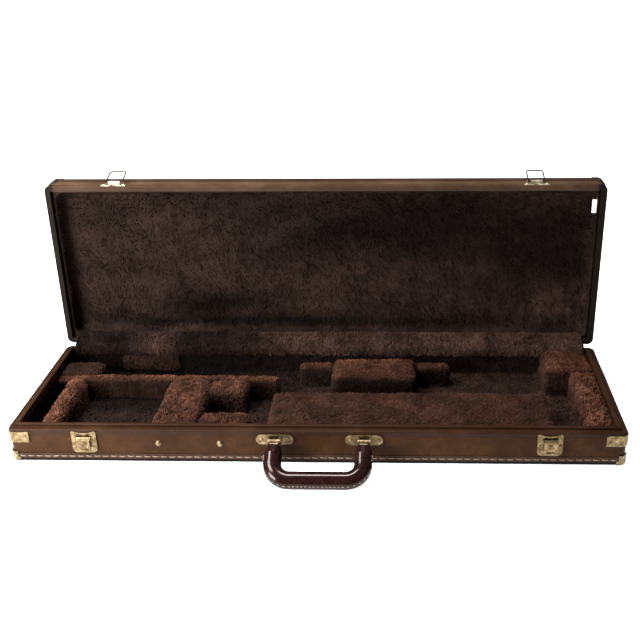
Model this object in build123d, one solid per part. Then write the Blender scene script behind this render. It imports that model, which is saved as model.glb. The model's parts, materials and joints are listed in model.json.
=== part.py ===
from build123d import *
import math
import os

# Long, shallow fitted hard case: a base tray and a lid of covered boards, joined by hinges along the
# back, lined with plush and divided by plush-covered blocks. The lid stands open.
# Millimetres. Origin: centre of the flat bottom face. +X along the length, +Y to the hinges, +Z up.

# ------------------------------------------------------------------ shell
LENGTH = 890.0          # over the rims, left to right
DEPTH = 276.0           # over the rims, front to hinge side
BASE_HEIGHT = 54.0      # bottom face up to the mating ledge
LID_HEIGHT = 42.0       # mating ledge up to the lid's outer face, lid shut
CORNER_R = 10.0         # upright corner radius over the rims
TRIM = 1.0              # how far rim, binding and piping stand proud of the boards
BOARD = 8.0             # covered board thickness
PANEL = 5.0             # bottom panel and lid panel thickness
RIM_HEIGHT = 8.0        # rim moulding below (base) or above (lid) the mating ledge
LEDGE = 9.5             # width of the base rim's mating ledge
TONGUE = 5.5            # width of the raised tongue inside the ledge
TONGUE_HEIGHT = 4.0     # how far the tongue stands above the ledge
MATING_GAP = 0.2        # lid rim above the ledge, lid shut
TONGUE_GAP = 0.5        # lid rim to tongue, sideways
PIPING = 5.4            # height of the dark edge piping
BAND = 8.0              # height of the stitched binding band
BAND_Z = 6.2            # bottom of the base's band
BOTTOM_R = 4.5          # rounding of the bottom's outer edge
LINING = 4.0            # plush on the walls
PLUSH_FLOOR = 5.0       # plush on bottom panel and lid panel
SOFT_R = 5.0            # edge rounding of the plush-covered blocks
SOFT_GAP = 0.3          # between neighbouring blocks
UNDER_RIM = 0.5         # blocks taller than the rim's underside stay this far inside the rim

HALF_L = LENGTH / 2
HALF_D = DEPTH / 2
INNER_INSET = TRIM + BOARD                 # board's inner face, from the rim's outer face
LINED_INSET = INNER_INSET + LINING         # lining's inner face
WELL_X = HALF_L - LINED_INSET              # half the lined length
WELL_Y = HALF_D - LINED_INSET              # half the lined depth
CLEAR_X = HALF_L - LEDGE - TONGUE - UNDER_RIM
CLEAR_Y = HALF_D - LEDGE - TONGUE - UNDER_RIM
FLOOR_Z = PANEL + PLUSH_FLOOR              # top of the plush floor
SHUT_TOP = BASE_HEIGHT + LID_HEIGHT        # lid's outer face, lid shut
FRONT = -HALF_D                            # outer face of the rims at the front
BOARD_FRONT = FRONT + TRIM                 # outer face of the boards at the front

# ------------------------------------------------------------------ hinges
HINGE_Y = HALF_D + 3.0
HINGE_Z = BASE_HEIGHT
HINGE_XS = (-380.0, 0.0, 380.0)
HINGE_LEN = 100.0
KNUCKLES = 5
KNUCKLE_R = 2.6
HINGE_PIN_R = 1.25
PIN_PLAY = 0.05         # radial running clearance of every pin
LEAF_DROP = 17.0        # how far a leaf reaches from the pin's axis
LEAF = 1.2              # leaf thickness
TAIL = 8.0              # stop tail of the lid leaf

# ------------------------------------------------------------------ latches and bails
LATCH_XS = {"left": -333.5, "right": 335.0}
PLATE_W = 36.0
PLATE_Z = (17.0, 52.0)
PLATE_T = 1.4
LATCH_PIN_R = 1.5
LATCH_PIN_Y = FRONT - 4.4
LATCH_PIN_Z = 42.0
LEVER_HALF = 9.2
LEVER_T = 1.6
LEVER_BOTTOM = 22.0
LEVER_KNUCKLE_R = 2.6
EAR_T = 1.4
LOCK_R = 3.2
LOCK_Z = 33.0
BAIL_R = 1.1
BAIL_W = 25.8           # between the wire's centre lines
BAIL_REACH = 32.0
BAIL_BEND = 4.0
BAIL_Y = FRONT - 3.5
BAIL_Z = BASE_HEIGHT + 9.5
BAIL_REST = 16.0        # degrees off the lid's front face, against the bracket's stops
STOP_Z = (5.0, 7.0)     # the stops, above the bail's axis, lid shut
STOP_PLAY = 0.2         # bail to stop, at rest
BRACKET_KNUCKLE_R = 2.2

# ------------------------------------------------------------------ handle
HANDLE_X = 7.0
HANDLE_SPREAD = 128.0   # between the legs' centre lines
HANDLE_REACH = 60.0     # pivot axis to grip centre line
HANDLE_BEND = 25.0
HANDLE_DROP = 29.2      # degrees below level: the grip rests on the ground
GRIP_WIDE = 13.0        # half widths of the oval grip
GRIP_THICK = 11.0
NECK_WIDE = 10.5
NECK_THICK = 7.4
NECK_START = 7.0
NECK_END = 20.0
PIVOT_Y = FRONT - 8.0
PIVOT_Z = 41.0
HANDLE_PIN_R = 2.0
CORE_R = 2.5
HANDLE_PLATE = (54.0, 16.0)
HANDLE_PLATE_T = 1.8

STUD_XS = (-226.0, -137.0)
STUD_Z = 32.0

CLIP_RUN = 31.0         # corner clip, along each face from the corner
CLIP_RUN_BACK = 13.0    # short of the hinges
CLIP_T = 1.2
CLIP_RIVET_Z = 40.0

parts = {}


# ------------------------------------------------------------------ helpers
def box(x0, x1, y0, y1, z0, z1):
    return Pos((x0 + x1) / 2, (y0 + y1) / 2, (z0 + z1) / 2) * Box(x1 - x0, y1 - y0, z1 - z0)


def rod_x(x0, x1, y, z, radius):
    """A round bar along X."""
    return Pos((x0 + x1) / 2, y, z) * Rot(0, 90, 0) * Cylinder(radius, x1 - x0)


def outline_block(inset, z0, z1):
    """A block of the case's plan outline, inset from the rims' outer face."""
    radius = max(CORNER_R - inset, 1.0)
    face = RectangleRounded(LENGTH - 2 * inset, DEPTH - 2 * inset, radius)
    return Pos(0, 0, z0) * extrude(face, amount=z1 - z0)


def outline_ring(inset, width, z0, z1):
    return outline_block(inset, z0, z1) - outline_block(inset + width, z0 - 1, z1 + 1)


def hull(grow, z0):
    """The base's outer form grown outwards, its bottom edge rounded."""
    body = outline_block(-grow, z0, BASE_HEIGHT)
    return fillet(body.edges().group_by(Axis.Z)[0], BOTTOM_R + grow)


def boards(prefix, z0, z1):
    """The four boards of a tray: front and back run full length, the ends fit between them."""
    ring = outline_ring(TRIM, BOARD, z0, z1)
    inner = HALF_D - INNER_INSET
    parts[prefix + "_front_board"] = ring & box(-HALF_L, HALF_L, -HALF_D, -inner, z0, z1)
    parts[prefix + "_back_board"] = ring & box(-HALF_L, HALF_L, inner, HALF_D, z0, z1)
    parts[prefix + "_left_board"] = ring & box(-HALF_L, 0, -inner, inner, z0, z1)
    parts[prefix + "_right_board"] = ring & box(0, HALF_L, -inner, inner, z0, z1)


def corner_piece(run, z0, z1, inset, width, left, front):
    """The stretch of an outline ring that wraps one upright corner, run long on both faces."""
    x0, x1 = (-HALF_L - 5, -HALF_L + run) if left else (HALF_L - run, HALF_L + 5)
    y0, y1 = (-HALF_D - 5, -HALF_D + run) if front else (HALF_D - run, HALF_D + 5)
    return outline_ring(inset, width, z0, z1) & box(x0, x1, y0, y1, z0, z1)


def face_at(y, x=0.0, z=0.0):
    """A sketch plane on a front face: local x is +X, local y is +Z, and it extrudes outwards."""
    return Plane(origin=(x, y, z), x_dir=(1, 0, 0), z_dir=(0, -1, 0))


def stepped_plate(sketch, x, z, thickness, step_z, above):
    """A plate lying on a rim's proud face and filling down to the board beside it."""
    proud = extrude(face_at(FRONT, x, z) * sketch, amount=thickness)
    filler = extrude(face_at(BOARD_FRONT, x, z) * sketch, amount=TRIM)
    if above:
        keep = box(x - 60, x + 60, FRONT - 5, BOARD_FRONT + 1, step_z + 0.2, step_z + 60)
    else:
        keep = box(x - 60, x + 60, FRONT - 5, BOARD_FRONT + 1, step_z - 60, step_z - 0.2)
    return proud + (filler & keep)


def dome(x, y, z, radius, height):
    """A domed stud head standing out of a front face at y."""
    ball_r = (radius**2 + height**2) / (2 * height)
    ball = Pos(x, y - height + ball_r, z) * Sphere(ball_r)
    wide = radius + 2
    return ball & box(x - wide, x + wide, y - height - 2, y, z - wide, z + wide)


def plush_block(x0, x1, y0, y1, top):
    """A plush-covered block standing on the floor: uprights and top edges rounded."""
    solid = box(x0, x1, y0, y1, FLOOR_Z, top)
    soft = solid.edges().filter_by(Axis.Z) + solid.edges().group_by(Axis.Z)[-1]
    return fillet(soft, min(SOFT_R, 0.4 * min(x1 - x0, y1 - y0)))


def opened(shape):
    """Turn a part modelled with the lid shut to the open, resting place."""
    return shape.rotate(Axis((0, HINGE_Y, HINGE_Z), (1, 0, 0)), -90)


# ------------------------------------------------------------------ base tray
def base_shell():
    form = hull(0, 0)
    parts["base_bottom_panel"] = outline_block(TRIM, 0, PANEL) & form
    boards("base", PANEL, BASE_HEIGHT - RIM_HEIGHT)

    ledge = outline_block(0, BASE_HEIGHT - RIM_HEIGHT, BASE_HEIGHT)
    ledge = fillet(ledge.edges().group_by(Axis.Z)[-1], 2.0)
    ledge -= outline_block(LEDGE + TONGUE, 0, SHUT_TOP)
    tongue = outline_ring(LEDGE, TONGUE, BASE_HEIGHT - 1, BASE_HEIGHT + TONGUE_HEIGHT)
    tongue = fillet(tongue.edges().group_by(Axis.Z)[-1], 1.2)
    parts["base_rim"] = ledge + tongue

    parts["base_piping"] = outline_ring(0, TRIM, 0.4, 0.4 + PIPING) & form
    parts["base_binding"] = outline_ring(0, TRIM, BAND_Z, BAND_Z + BAND)


def base_lining():
    parts["base_floor_lining"] = outline_block(LINED_INSET, PANEL, FLOOR_Z)
    parts["base_wall_lining"] = outline_ring(INNER_INSET, LINING, PANEL, BASE_HEIGHT - RIM_HEIGHT)


def blocks():
    """Plush-covered blocks that shape the compartments: name, x range, y range, top."""
    table = {
        "corner_block_left": (-CLEAR_X, -366, 49 + SOFT_GAP, 90, 46),
        "divider_block": (-WELL_X, -71, 33, 49, 45),
        "end_block_left": (-407, -382, -CLEAR_Y, 33 - SOFT_GAP, 46),
        "cradle_block": (-242, -178, -CLEAR_Y, 28, 47),
        "cradle_rear_arm": (-178 + SOFT_GAP, -119, -12, 28, 46),
        "cradle_front_arm": (-178 + SOFT_GAP, -104, -CLEAR_Y, -66, 42),
        "long_block": (-72, 345, -CLEAR_Y, -9, 48),
        "rear_bar_left": (-42, 14 - SOFT_GAP, 78, 98, 45),
        "rear_centre_block": (14, 146, 32, 98, 52),
        "rear_bar_right": (146 + SOFT_GAP, 203, 78, 98, 45),
        "corner_block_right": (355, CLEAR_X, 51, CLEAR_Y, 55),
        "end_block_right": (393, CLEAR_X, -CLEAR_Y, 51 - SOFT_GAP, 53),
    }
    for name, dims in table.items():
        parts[name] = plush_block(*dims)
    pad = box(-345, -250, WELL_Y - 6, WELL_Y, 18, BASE_HEIGHT - RIM_HEIGHT)
    parts["rear_wall_pad"] = fillet(pad.edges().group_by(Axis.Y)[0], 3.0)


# ------------------------------------------------------------------ lid, modelled shut
def lid_shell():
    top = SHUT_TOP - PANEL
    panel = outline_block(TRIM, top, SHUT_TOP)
    parts["lid_panel"] = fillet(panel.edges().group_by(Axis.Z)[-1], 1.5)
    boards("lid", BASE_HEIGHT + RIM_HEIGHT, top)

    rim = outline_block(0, BASE_HEIGHT + MATING_GAP, BASE_HEIGHT + RIM_HEIGHT)
    rim = fillet(rim.edges().group_by(Axis.Z)[0], 2.0)
    parts["lid_rim"] = rim - outline_block(LEDGE - TONGUE_GAP, 0, SHUT_TOP + 1)

    parts["lid_piping"] = outline_ring(0, TRIM, SHUT_TOP - 0.4 - PIPING, SHUT_TOP - 0.4)
    parts["lid_binding"] = outline_ring(0, TRIM, SHUT_TOP - BAND_Z - BAND, SHUT_TOP - BAND_Z)
    parts["lid_panel_lining"] = outline_block(LINED_INSET, top - PLUSH_FLOOR, top)
    parts["lid_wall_lining"] = outline_ring(INNER_INSET, LINING, BASE_HEIGHT + RIM_HEIGHT, top)
    parts["blank_tag"] = box(WELL_X - 7.6, WELL_X, -112, -90, BASE_HEIGHT + 9.2, BASE_HEIGHT + 9.8)


# ------------------------------------------------------------------ corner hardware and studs
def base_cap(left, front):
    """A small lobed cap: a band along the rounded edge, turned under it, and a tongue up the corner."""
    skin = hull(1.0, -1.0) - hull(0, 0)
    band = skin & corner_piece(14, 0.4, 8.0, -1.0, 8.0, left, front)
    return band + (skin & corner_piece(11, 7.5, 17.0, -1.0, 8.0, left, front))


def lid_cap(left, front):
    """A three-lobed cap: a band along the lid's edge and a tongue down the corner."""
    cap = corner_piece(19, SHUT_TOP - 9.0, SHUT_TOP - 0.4, -1.0, 1.0, left, front)
    return cap + corner_piece(12, SHUT_TOP - 21.0, SHUT_TOP - 8.5, -1.0, 1.0, left, front)


def corner_clip(left, front):
    """A brass strap round the upright corner, under the rim's ledge; short at the back, by the hinges."""
    step = BASE_HEIGHT - RIM_HEIGHT
    strap = corner_piece(CLIP_RUN, 33.0, step - 0.2, -CLIP_T, CLIP_T + TRIM, left, front)
    strap += corner_piece(CLIP_RUN, 33.0, step + 4.0, -CLIP_T, CLIP_T, left, front)
    if front:
        return strap
    reach = HALF_L - CLIP_RUN_BACK
    return strap - box(-reach, reach, 0, HALF_D + 5, 0, SHUT_TOP)


def corner_hardware():
    corners = [(left, front) for left in (True, False) for front in (True, False)]
    parts["base_corner_clips"] = Compound([corner_clip(*c) for c in corners])
    parts["base_corner_caps"] = Compound([base_cap(*c) for c in corners])
    parts["lid_corner_caps"] = Compound([lid_cap(*c) for c in corners])
    parts["front_studs"] = Compound([dome(x, BOARD_FRONT, STUD_Z, 5.2, 3.6) for x in STUD_XS])


# ------------------------------------------------------------------ hinges
def hinge_leaf(x, for_lid):
    """One leaf with its knuckles, lid shut. The lid's leaf has a tail that stops it upright."""
    pitch = HINGE_LEN / KNUCKLES
    reach = HINGE_Z + (LEAF_DROP if for_lid else -LEAF_DROP)
    near = HINGE_Z + (KNUCKLE_R + 0.4 if for_lid else -KNUCKLE_R - 0.4)
    step = HINGE_Z + (RIM_HEIGHT if for_lid else -RIM_HEIGHT)
    x0 = x - HINGE_LEN / 2
    z0, z1 = sorted((reach, near))
    leaf = box(x0, x0 + HINGE_LEN, HALF_D, HALF_D + LEAF, z0, z1)
    z0, z1 = sorted((reach, step + (0.2 if for_lid else -0.2)))
    leaf += box(x0, x0 + HINGE_LEN, HALF_D - TRIM, HALF_D, z0, z1)
    for i in range(1 if for_lid else 0, KNUCKLES, 2):
        a = x0 + i * pitch + 0.2
        b = a + pitch - 0.4
        z0, z1 = sorted((near, HINGE_Z))
        leaf += box(a, b, HALF_D + 0.1, HALF_D + LEAF, z0, z1)
        leaf += rod_x(a, b, HINGE_Y, HINGE_Z, KNUCKLE_R)
        if for_lid:
            leaf += box(a, b, HINGE_Y, HINGE_Y + TAIL, HINGE_Z - 1.6, HINGE_Z - 0.4)
    return leaf - rod_x(x0 - 1, x0 + HINGE_LEN + 1, HINGE_Y, HINGE_Z, HINGE_PIN_R + PIN_PLAY)


def hinges():
    parts["hinge_base_leaves"] = Compound([hinge_leaf(x, False) for x in HINGE_XS])
    parts["hinge_lid_leaves"] = Compound([hinge_leaf(x, True) for x in HINGE_XS])
    half = HINGE_LEN / 2
    pins = [rod_x(x - half, x + half, HINGE_Y, HINGE_Z, HINGE_PIN_R) for x in HINGE_XS]
    parts["hinge_pins"] = Compound(pins)


# ------------------------------------------------------------------ latches
def latch_plate(x):
    height = PLATE_Z[1] - PLATE_Z[0]
    middle = (PLATE_Z[0] + PLATE_Z[1]) / 2
    outline = Rectangle(PLATE_W, height)
    outline = fillet(outline.vertices().group_by(Axis.Y)[0], 7.0)
    outline = fillet(outline.vertices().group_by(Axis.Y)[-1], 2.5)
    outline -= Pos(0, height / 2 + 37) * Circle(40)
    for side in (-1, 1):
        outline -= Pos(side * 5.6, PLATE_Z[1] - middle - 6.0) * Rectangle(5.0, 2.2)
    plate = stepped_plate(outline, x, middle, PLATE_T, BASE_HEIGHT - RIM_HEIGHT, False)
    for side in (-1, 1):
        a, b = sorted((side * (LEVER_HALF + 0.4), side * (LEVER_HALF + 0.4 + EAR_T)))
        ear = box(x + a, x + b, LATCH_PIN_Y, FRONT, LATCH_PIN_Z - 3, LATCH_PIN_Z + 3)
        ear += rod_x(x + a, x + b, LATCH_PIN_Y, LATCH_PIN_Z, 3.0)
        plate += ear
    return plate - rod_x(x - 20, x + 20, LATCH_PIN_Y, LATCH_PIN_Z, LATCH_PIN_R)


def latch_lever(x):
    """The lever over the bail's crossbar, with the cam that holds it down."""
    out = LATCH_PIN_Y - LEVER_KNUCKLE_R
    lever = box(x - LEVER_HALF, x + LEVER_HALF, out, out + LEVER_T, LEVER_BOTTOM, LATCH_PIN_Z)
    low = lever.edges().filter_by(Axis.Y).group_by(Axis.Z)[0]
    lever = fillet(low, 3.0)
    lever += rod_x(x - LEVER_HALF, x + LEVER_HALF, LATCH_PIN_Y, LATCH_PIN_Z, LEVER_KNUCKLE_R)
    lever += box(x - LEVER_HALF, x + LEVER_HALF, out + LEVER_T, FRONT - PLATE_T - 0.6, 34.2, 36.0)
    lever += box(x - 6, x + 6, out - 1.6, out, LEVER_BOTTOM + 1, LEVER_BOTTOM + 3.5)
    boss = extrude(face_at(out, x, LOCK_Z) * Circle(LOCK_R + 1.5), amount=0.8)
    lever += boss
    lock_hole = extrude(face_at(out + LEVER_T, x, LOCK_Z) * Circle(LOCK_R + PIN_PLAY), amount=4)
    lever -= lock_hole & box(x - 9, x + 9, FRONT - 9, FRONT - 5.2, LOCK_Z - 9, LOCK_Z + 9)
    return lever - rod_x(x - 20, x + 20, LATCH_PIN_Y, LATCH_PIN_Z, LATCH_PIN_R + PIN_PLAY)


def lock_core(x):
    """The key barrel in the lever, with its keyway."""
    out = LATCH_PIN_Y - LEVER_KNUCKLE_R
    back = out + LEVER_T - 0.1
    core = extrude(face_at(back, x, LOCK_Z) * Circle(LOCK_R), amount=back - (out - 1.2))
    keyway = extrude(face_at(out + 0.4, x, LOCK_Z) * Rectangle(1.0, 4.2), amount=3)
    return core - keyway


def latches():
    pins, rivets = [], []
    reach = LEVER_HALF + 0.4 + EAR_T
    for side, x in LATCH_XS.items():
        parts["latch_plate_" + side] = latch_plate(x)
        parts["latch_lever_" + side] = latch_lever(x)
        parts["lock_core_" + side] = lock_core(x)
        pins.append(rod_x(x - reach, x + reach, LATCH_PIN_Y, LATCH_PIN_Z, LATCH_PIN_R))
        for dx in (-14.4, 14.4):
            rivets.append(dome(x + dx, FRONT - PLATE_T, 33.5, 2.2, 1.0))
    clip_x = HALF_L - CLIP_RUN + 5.0
    rivets += [dome(x, FRONT - CLIP_T, CLIP_RIVET_Z, 2.2, 1.0) for x in (-clip_x, clip_x)]
    parts["latch_pins"] = Compound(pins)
    parts["front_rivets"] = Compound(rivets)


# ------------------------------------------------------------------ bails, modelled shut
def bail_bracket(x):
    """Two feet either side of an arch, a narrower body above them, the knuckle and the bail's stops."""
    height = 16.0
    middle = BASE_HEIGHT + 1.0 + height / 2
    right = [(20.0, -8.0), (20.0, -3.5), (15.0, 0.0), (14.5, 8.0)]
    left = [(-a, b) for a, b in reversed(right)]
    outline = make_face(Polyline(right + left, close=True))
    outline = fillet(outline.vertices(), 1.4)
    outline -= Pos(0, -height / 2) * Ellipse(4.5, 3.2)
    plate = stepped_plate(outline, x, middle, 1.2, BASE_HEIGHT + RIM_HEIGHT, True)
    knuckle = rod_x(x - 9, x + 9, BAIL_Y, BAIL_Z, BRACKET_KNUCKLE_R)
    half = BRACKET_KNUCKLE_R
    knuckle += box(x - 9, x + 9, BAIL_Y, FRONT - 1.0, BAIL_Z - half, BAIL_Z + half)
    plate += knuckle
    lean = math.radians(BAIL_REST)
    tip = BAIL_Y - STOP_Z[0] * math.tan(lean) + BAIL_R / math.cos(lean) + STOP_PLAY
    for side in (-1, 1):
        a, b = sorted((side * 11.7, side * 14.1))
        plate += box(x + a, x + b, tip, FRONT - 1.0, BAIL_Z + STOP_Z[0], BAIL_Z + STOP_Z[1])
    return plate - rod_x(x - 20, x + 20, BAIL_Y, BAIL_Z, BAIL_R + PIN_PLAY)


def bail(x):
    """A closed loop of wire whose near bar turns in the bracket, leaning off the lid's face."""
    half = BAIL_W / 2
    far = BAIL_REACH
    loop = [(-half, 0), (-half, far), (half, far), (half, 0)]
    sides = FilletPolyline(*loop, radius=BAIL_BEND)
    path = Plane(origin=(x, BAIL_Y, BAIL_Z), x_dir=(1, 0, 0), z_dir=(0, -1, 0)) * sides
    section = Plane(origin=path @ 0, z_dir=path % 0) * Circle(BAIL_R)
    wire = sweep(section, path=path)
    wire += rod_x(x - half - BAIL_R, x + half + BAIL_R, BAIL_Y, BAIL_Z, BAIL_R)
    return wire.rotate(Axis((x, BAIL_Y, BAIL_Z), (1, 0, 0)), BAIL_REST)


def bails():
    rivets = []
    parts["bail_brackets"] = Compound([bail_bracket(x) for x in LATCH_XS.values()])
    for side, x in LATCH_XS.items():
        parts["bail_" + side] = bail(x)
        rivets += [dome(x + dx, FRONT - 1.2, BASE_HEIGHT + 4.2, 2.2, 1.0) for dx in (-15.5, 15.5)]
    parts["bail_rivets"] = Compound(rivets)


# ------------------------------------------------------------------ handle
def handle_plate(x):
    outline = SlotOverall(*HANDLE_PLATE)
    outline -= Pos(0, 4.2) * Rectangle(11.0, 2.4)
    plate = stepped_plate(outline, x, PIVOT_Z, HANDLE_PLATE_T, BASE_HEIGHT - RIM_HEIGHT, False)
    for side in (-1, 1):
        a, b = sorted((side * 6.9, side * 9.4))
        plate += box(x + a, x + b, PIVOT_Y, FRONT, PIVOT_Z - 4.5, PIVOT_Z + 4.5)
        plate += rod_x(x + a, x + b, PIVOT_Y, PIVOT_Z, 4.5)
    return plate - rod_x(x - 20, x + 20, PIVOT_Y, PIVOT_Z, HANDLE_PIN_R)


def oval(x, distance, wide, thick):
    """The leg's oval section at a distance from the pivot, handle held level."""
    return Plane(origin=(x, PIVOT_Y - distance, PIVOT_Z), x_dir=(1, 0, 0), z_dir=(0, -1, 0)) * Ellipse(
        wide, thick
    )


def handle_path(start):
    """Centre line of the grip: leg, large bend, grip, large bend, leg, handle held level."""
    x0, x1 = HANDLE_X - HANDLE_SPREAD / 2, HANDLE_X + HANDLE_SPREAD / 2
    y0, y1 = PIVOT_Y - start, PIVOT_Y - HANDLE_REACH
    points = [(x0, y0, PIVOT_Z), (x0, y1, PIVOT_Z), (x1, y1, PIVOT_Z), (x1, y0, PIVOT_Z)]
    return FilletPolyline(*points, radius=HANDLE_BEND)


def handle():
    xs = (HANDLE_X - HANDLE_SPREAD / 2, HANDLE_X + HANDLE_SPREAD / 2)
    ferrules = []
    for x in xs:
        eye = rod_x(x - 6.6, x + 6.6, PIVOT_Y, PIVOT_Z, 4.5)
        eye += box(x - 5.5, x + 5.5, PIVOT_Y - NECK_END, PIVOT_Y, PIVOT_Z - 3.2, PIVOT_Z + 3.2)
        ferrules.append(eye - rod_x(x - 9, x + 9, PIVOT_Y, PIVOT_Z, HANDLE_PIN_R + PIN_PLAY))

    path = handle_path(NECK_END)
    core = sweep(Plane(origin=path @ 0, z_dir=path % 0) * Circle(CORE_R), path=path)
    grip = sweep(oval(xs[0], NECK_END, GRIP_WIDE, GRIP_THICK), path=path)
    for x in xs:
        neck = oval(x, NECK_START, NECK_WIDE, NECK_THICK)
        grip += loft([neck, oval(x, NECK_END, GRIP_WIDE, GRIP_THICK)])
    grip -= core
    for ferrule in ferrules:
        grip -= ferrule

    def dropped(shape):
        return shape.rotate(Axis((0, PIVOT_Y, PIVOT_Z), (1, 0, 0)), HANDLE_DROP)

    parts["handle_grip"] = dropped(grip)
    parts["handle_core"] = dropped(core)
    parts["handle_ferrules"] = Compound([dropped(f) for f in ferrules])
    pins, screws = [], []
    for x in xs:
        pins.append(rod_x(x - 9.4, x + 9.4, PIVOT_Y, PIVOT_Z, HANDLE_PIN_R))
        screws += [dome(x + dx, FRONT - HANDLE_PLATE_T, PIVOT_Z, 3.0, 1.2) for dx in (-19, 19)]
    parts["handle_plates"] = Compound([handle_plate(x) for x in xs])
    parts["handle_pins"] = Compound(pins)
    parts["handle_plate_screws"] = Compound(screws)


# ------------------------------------------------------------------ build and write
LID_NODES = (
    "lid_panel", "lid_front_board", "lid_back_board", "lid_left_board", "lid_right_board", "lid_rim",
    "lid_piping", "lid_binding", "lid_panel_lining", "lid_wall_lining", "blank_tag", "lid_corner_caps",
    "hinge_lid_leaves", "bail_brackets", "bail_left", "bail_right", "bail_rivets",
)

base_shell()
base_lining()
blocks()
lid_shell()
corner_hardware()
hinges()
latches()
bails()
handle()

os.makedirs("parts", exist_ok=True)
for name, shape in parts.items():
    placed = opened(shape) if name in LID_NODES else shape
    export_step(placed, "parts/" + name + ".step")
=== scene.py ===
import json
import math

import bpy
import numpy as np
from mathutils import Matrix, Vector
from mathutils.kdtree import KDTree


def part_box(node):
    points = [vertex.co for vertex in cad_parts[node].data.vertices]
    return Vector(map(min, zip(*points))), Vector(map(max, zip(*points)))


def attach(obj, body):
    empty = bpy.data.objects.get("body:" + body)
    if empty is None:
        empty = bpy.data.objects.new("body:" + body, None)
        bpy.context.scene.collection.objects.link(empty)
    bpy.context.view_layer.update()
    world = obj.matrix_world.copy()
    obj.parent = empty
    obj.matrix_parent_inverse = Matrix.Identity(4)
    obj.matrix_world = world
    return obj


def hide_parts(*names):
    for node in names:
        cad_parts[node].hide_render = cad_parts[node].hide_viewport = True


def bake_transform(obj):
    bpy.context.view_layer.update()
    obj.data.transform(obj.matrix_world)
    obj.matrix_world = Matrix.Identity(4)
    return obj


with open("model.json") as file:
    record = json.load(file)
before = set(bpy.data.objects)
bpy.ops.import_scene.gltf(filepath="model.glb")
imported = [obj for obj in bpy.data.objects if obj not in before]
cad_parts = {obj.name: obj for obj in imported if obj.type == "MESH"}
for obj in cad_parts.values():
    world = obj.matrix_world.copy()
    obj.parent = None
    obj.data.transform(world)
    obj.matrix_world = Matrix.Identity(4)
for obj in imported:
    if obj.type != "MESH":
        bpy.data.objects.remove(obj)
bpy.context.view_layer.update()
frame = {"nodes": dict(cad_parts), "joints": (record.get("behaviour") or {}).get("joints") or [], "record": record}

MM = 0.001


# ---------------------------------------------------------------- camera
SENSOR_WIDTH = 36.0          # in mm, like the focal length
FOCAL_LENGTH = 52.83
LENS_SHIFT = (-0.0695, 0.0024)
CAMERA_PLACE = (0.1196, -1.2854, 0.7518)
YAW, PITCH, ROLL = (math.radians(angle) for angle in (-2.286, 24.584, -0.788))


def make_camera():
    """The view from the front, a little right of the case's middle, looking down at it."""
    data = bpy.data.cameras.new("camera")
    data.sensor_width = SENSOR_WIDTH
    data.lens = FOCAL_LENGTH
    data.shift_x, data.shift_y = LENS_SHIFT
    camera = bpy.data.objects.new("camera", data)
    bpy.context.scene.collection.objects.link(camera)
    camera.location = CAMERA_PLACE
    look = Matrix.Rotation(-YAW, 3, "Z") @ Matrix.Rotation(math.pi / 2 - PITCH, 3, "X")
    camera.rotation_euler = (look @ Matrix.Rotation(ROLL, 3, "Z")).to_euler()
    bpy.context.scene.camera = camera


make_camera()


# ---------------------------------------------------------------- what the frame says
def low_high(node):
    """The low and the high corner of a CAD node's box."""
    lo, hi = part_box(node)
    return np.array(lo), np.array(hi)


RIM_LO, RIM_HI = low_high("base_rim")
WALL_LO, WALL_HI = low_high("base_wall_lining")
FLOOR_TOP = low_high("base_floor_lining")[1][2]
LID_WALL_LO, LID_WALL_HI = low_high("lid_wall_lining")
LID_LINING_FACE = low_high("lid_panel_lining")[0][1]
JOINTS = {joint["name"]: joint for joint in frame["joints"]}
HINGE = Vector(JOINTS["lid_hinge"]["pos_m"])
RIM_INSET = 15 * MM          # outer face of the base's rim to its inner edge
WALL_LINING = 4 * MM         # outer to inner face of the CAD linings on the walls
FORM_GAP = 0.4 * MM          # from there to the plush's form


# ---------------------------------------------------------------- small helpers
def hashed(ix, iy, iz, seed):
    """A repeatable number from 0 to 1 for each lattice point."""
    n = (ix * 374761393 + iy * 668265263 + iz * 2147483647 + seed * 974634777) & 0xFFFFFFFF
    n = ((n ^ (n >> 13)) * 1274126177) & 0xFFFFFFFF
    n = ((n ^ (n >> 16)) * 2246822519) & 0xFFFFFFFF
    return ((n ^ (n >> 15)) & 0xFFFFFF) / float(0xFFFFFF)


def value_noise(points, size, seed=0):
    """Smooth noise from -1 to 1 at points, with features about size across."""
    p = np.asarray(points, float) / np.asarray(size, float)
    base = np.floor(p).astype(np.int64)
    f = p - base
    f = f * f * (3 - 2 * f)
    out = np.zeros(len(p))
    for corner in range(8):
        d = np.array([corner & 1, corner >> 1 & 1, corner >> 2 & 1])
        w = np.prod(np.where(d, f, 1 - f), axis=1)
        c = base + d
        out += w * hashed(c[:, 0], c[:, 1], c[:, 2], seed)
    return 2 * out - 1


def fractal(points, size, seed=0, octaves=3):
    """Value noise with finer, weaker noise on top, about -1 to 1."""
    size = np.asarray(size, float)
    total = sum(value_noise(points, size / 2**k, seed + 31 * k) / 2**k for k in range(octaves))
    return total / 1.6


def vector_noise(points, size, seed=0):
    """A smoothly varying vector at each point."""
    return np.stack([value_noise(points, size, seed + 101 * k) for k in range(3)], axis=1)


def rise(values, start, run):
    """From 0 at start to 1 at start + run."""
    return np.clip((values - start) / run, 0, 1)


def unit(v):
    """Vectors made one long; a zero vector stays zero."""
    return v / np.maximum(np.linalg.norm(v, axis=-1, keepdims=True), 1e-12)


WELD_DISTANCE = 0.01 * MM
MOUTH_TOLERANCE = 0.05 * MM


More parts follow.
